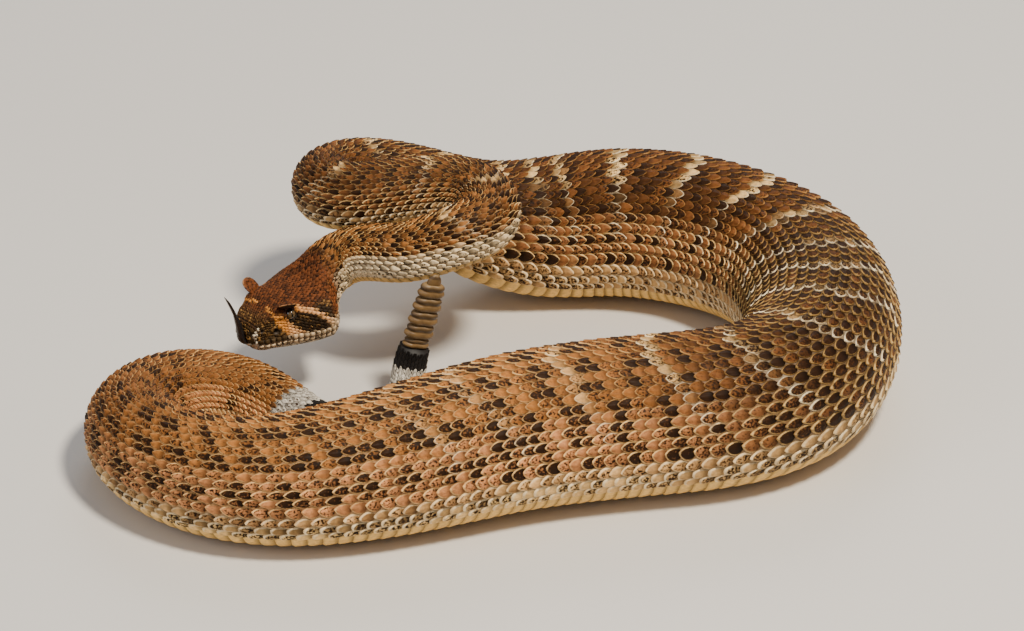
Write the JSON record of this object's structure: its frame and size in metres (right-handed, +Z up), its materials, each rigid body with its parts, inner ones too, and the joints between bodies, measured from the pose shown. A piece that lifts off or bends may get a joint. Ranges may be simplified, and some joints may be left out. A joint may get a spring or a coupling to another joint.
{
  "type": "western diamondback rattlesnake model",
  "caption": "Life-size still model of a coiled diamondback rattlesnake: raised S-bent neck, thick body in a loop on the ground, rattle held upright.",
  "frame": {"origin": "on the floor, below the middle of the model's box", "axes": "+X along the long side of the coil, away from the side that the head is on; +Z up"},
  "size_m": [0.3346, 0.2595, 0.084],
  "materials": {
    "skin": "satin",
    "eye": "gloss",
    "tongue": "satin",
    "rattle": "matte"
  },
  "bodies": {
    "root": {"head": "skin", "jaw": "skin", "eye_left": "eye", "eye_right": "eye", "tongue": "tongue", "neck": "skin", "body_01": "skin", "body_02": "skin", "body_03": "skin", "body_04": "skin", "body_05": "skin", "body_06": "skin", "body_07": "skin", "body_08": "skin", "body_09": "skin", "body_10": "skin", "body_11": "skin", "body_12": "skin", "body_13": "skin", "body_14": "skin", "body_15": "skin", "body_16": "skin", "body_17": "skin", "tail_1": "skin", "tail_2": "skin", "rattle_1": "rattle", "rattle_2": "rattle", "rattle_3": "rattle", "rattle_4": "rattle", "rattle_5": "rattle", "rattle_6": "rattle"}
  },
  "joints": []
}
